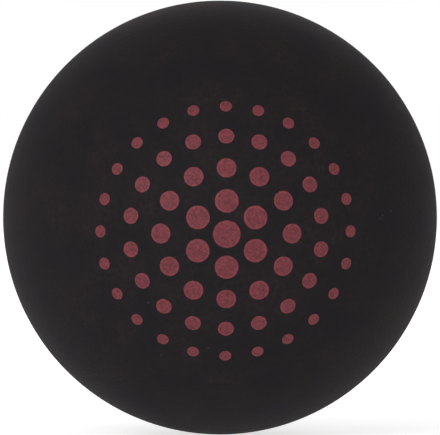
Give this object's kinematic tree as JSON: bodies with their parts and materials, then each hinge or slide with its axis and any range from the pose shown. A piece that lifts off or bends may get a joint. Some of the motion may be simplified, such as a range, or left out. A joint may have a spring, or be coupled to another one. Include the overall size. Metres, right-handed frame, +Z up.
{
  "type": "squash ball",
  "caption": "Hollow rubber squash ball of moulded half shells cemented rim to rim, matte black, with a plain dark red print on the front.",
  "frame": {"origin": "the ball's centre", "axes": "+Z up, -Y out through the printed pole of the front half, +Y out through the bare pole of the rear half; the halves meet in the XZ plane"},
  "size_m": [0.0424, 0.0424, 0.0424],
  "materials": {
    "black_rubber": "matte",
    "rubber_cement": "satin",
    "print_ink": "matte"
  },
  "bodies": {
    "root": {"front_half_shell": "black_rubber", "rear_half_shell": "black_rubber", "seam_adhesive": "rubber_cement"}
  },
  "joints": []
}
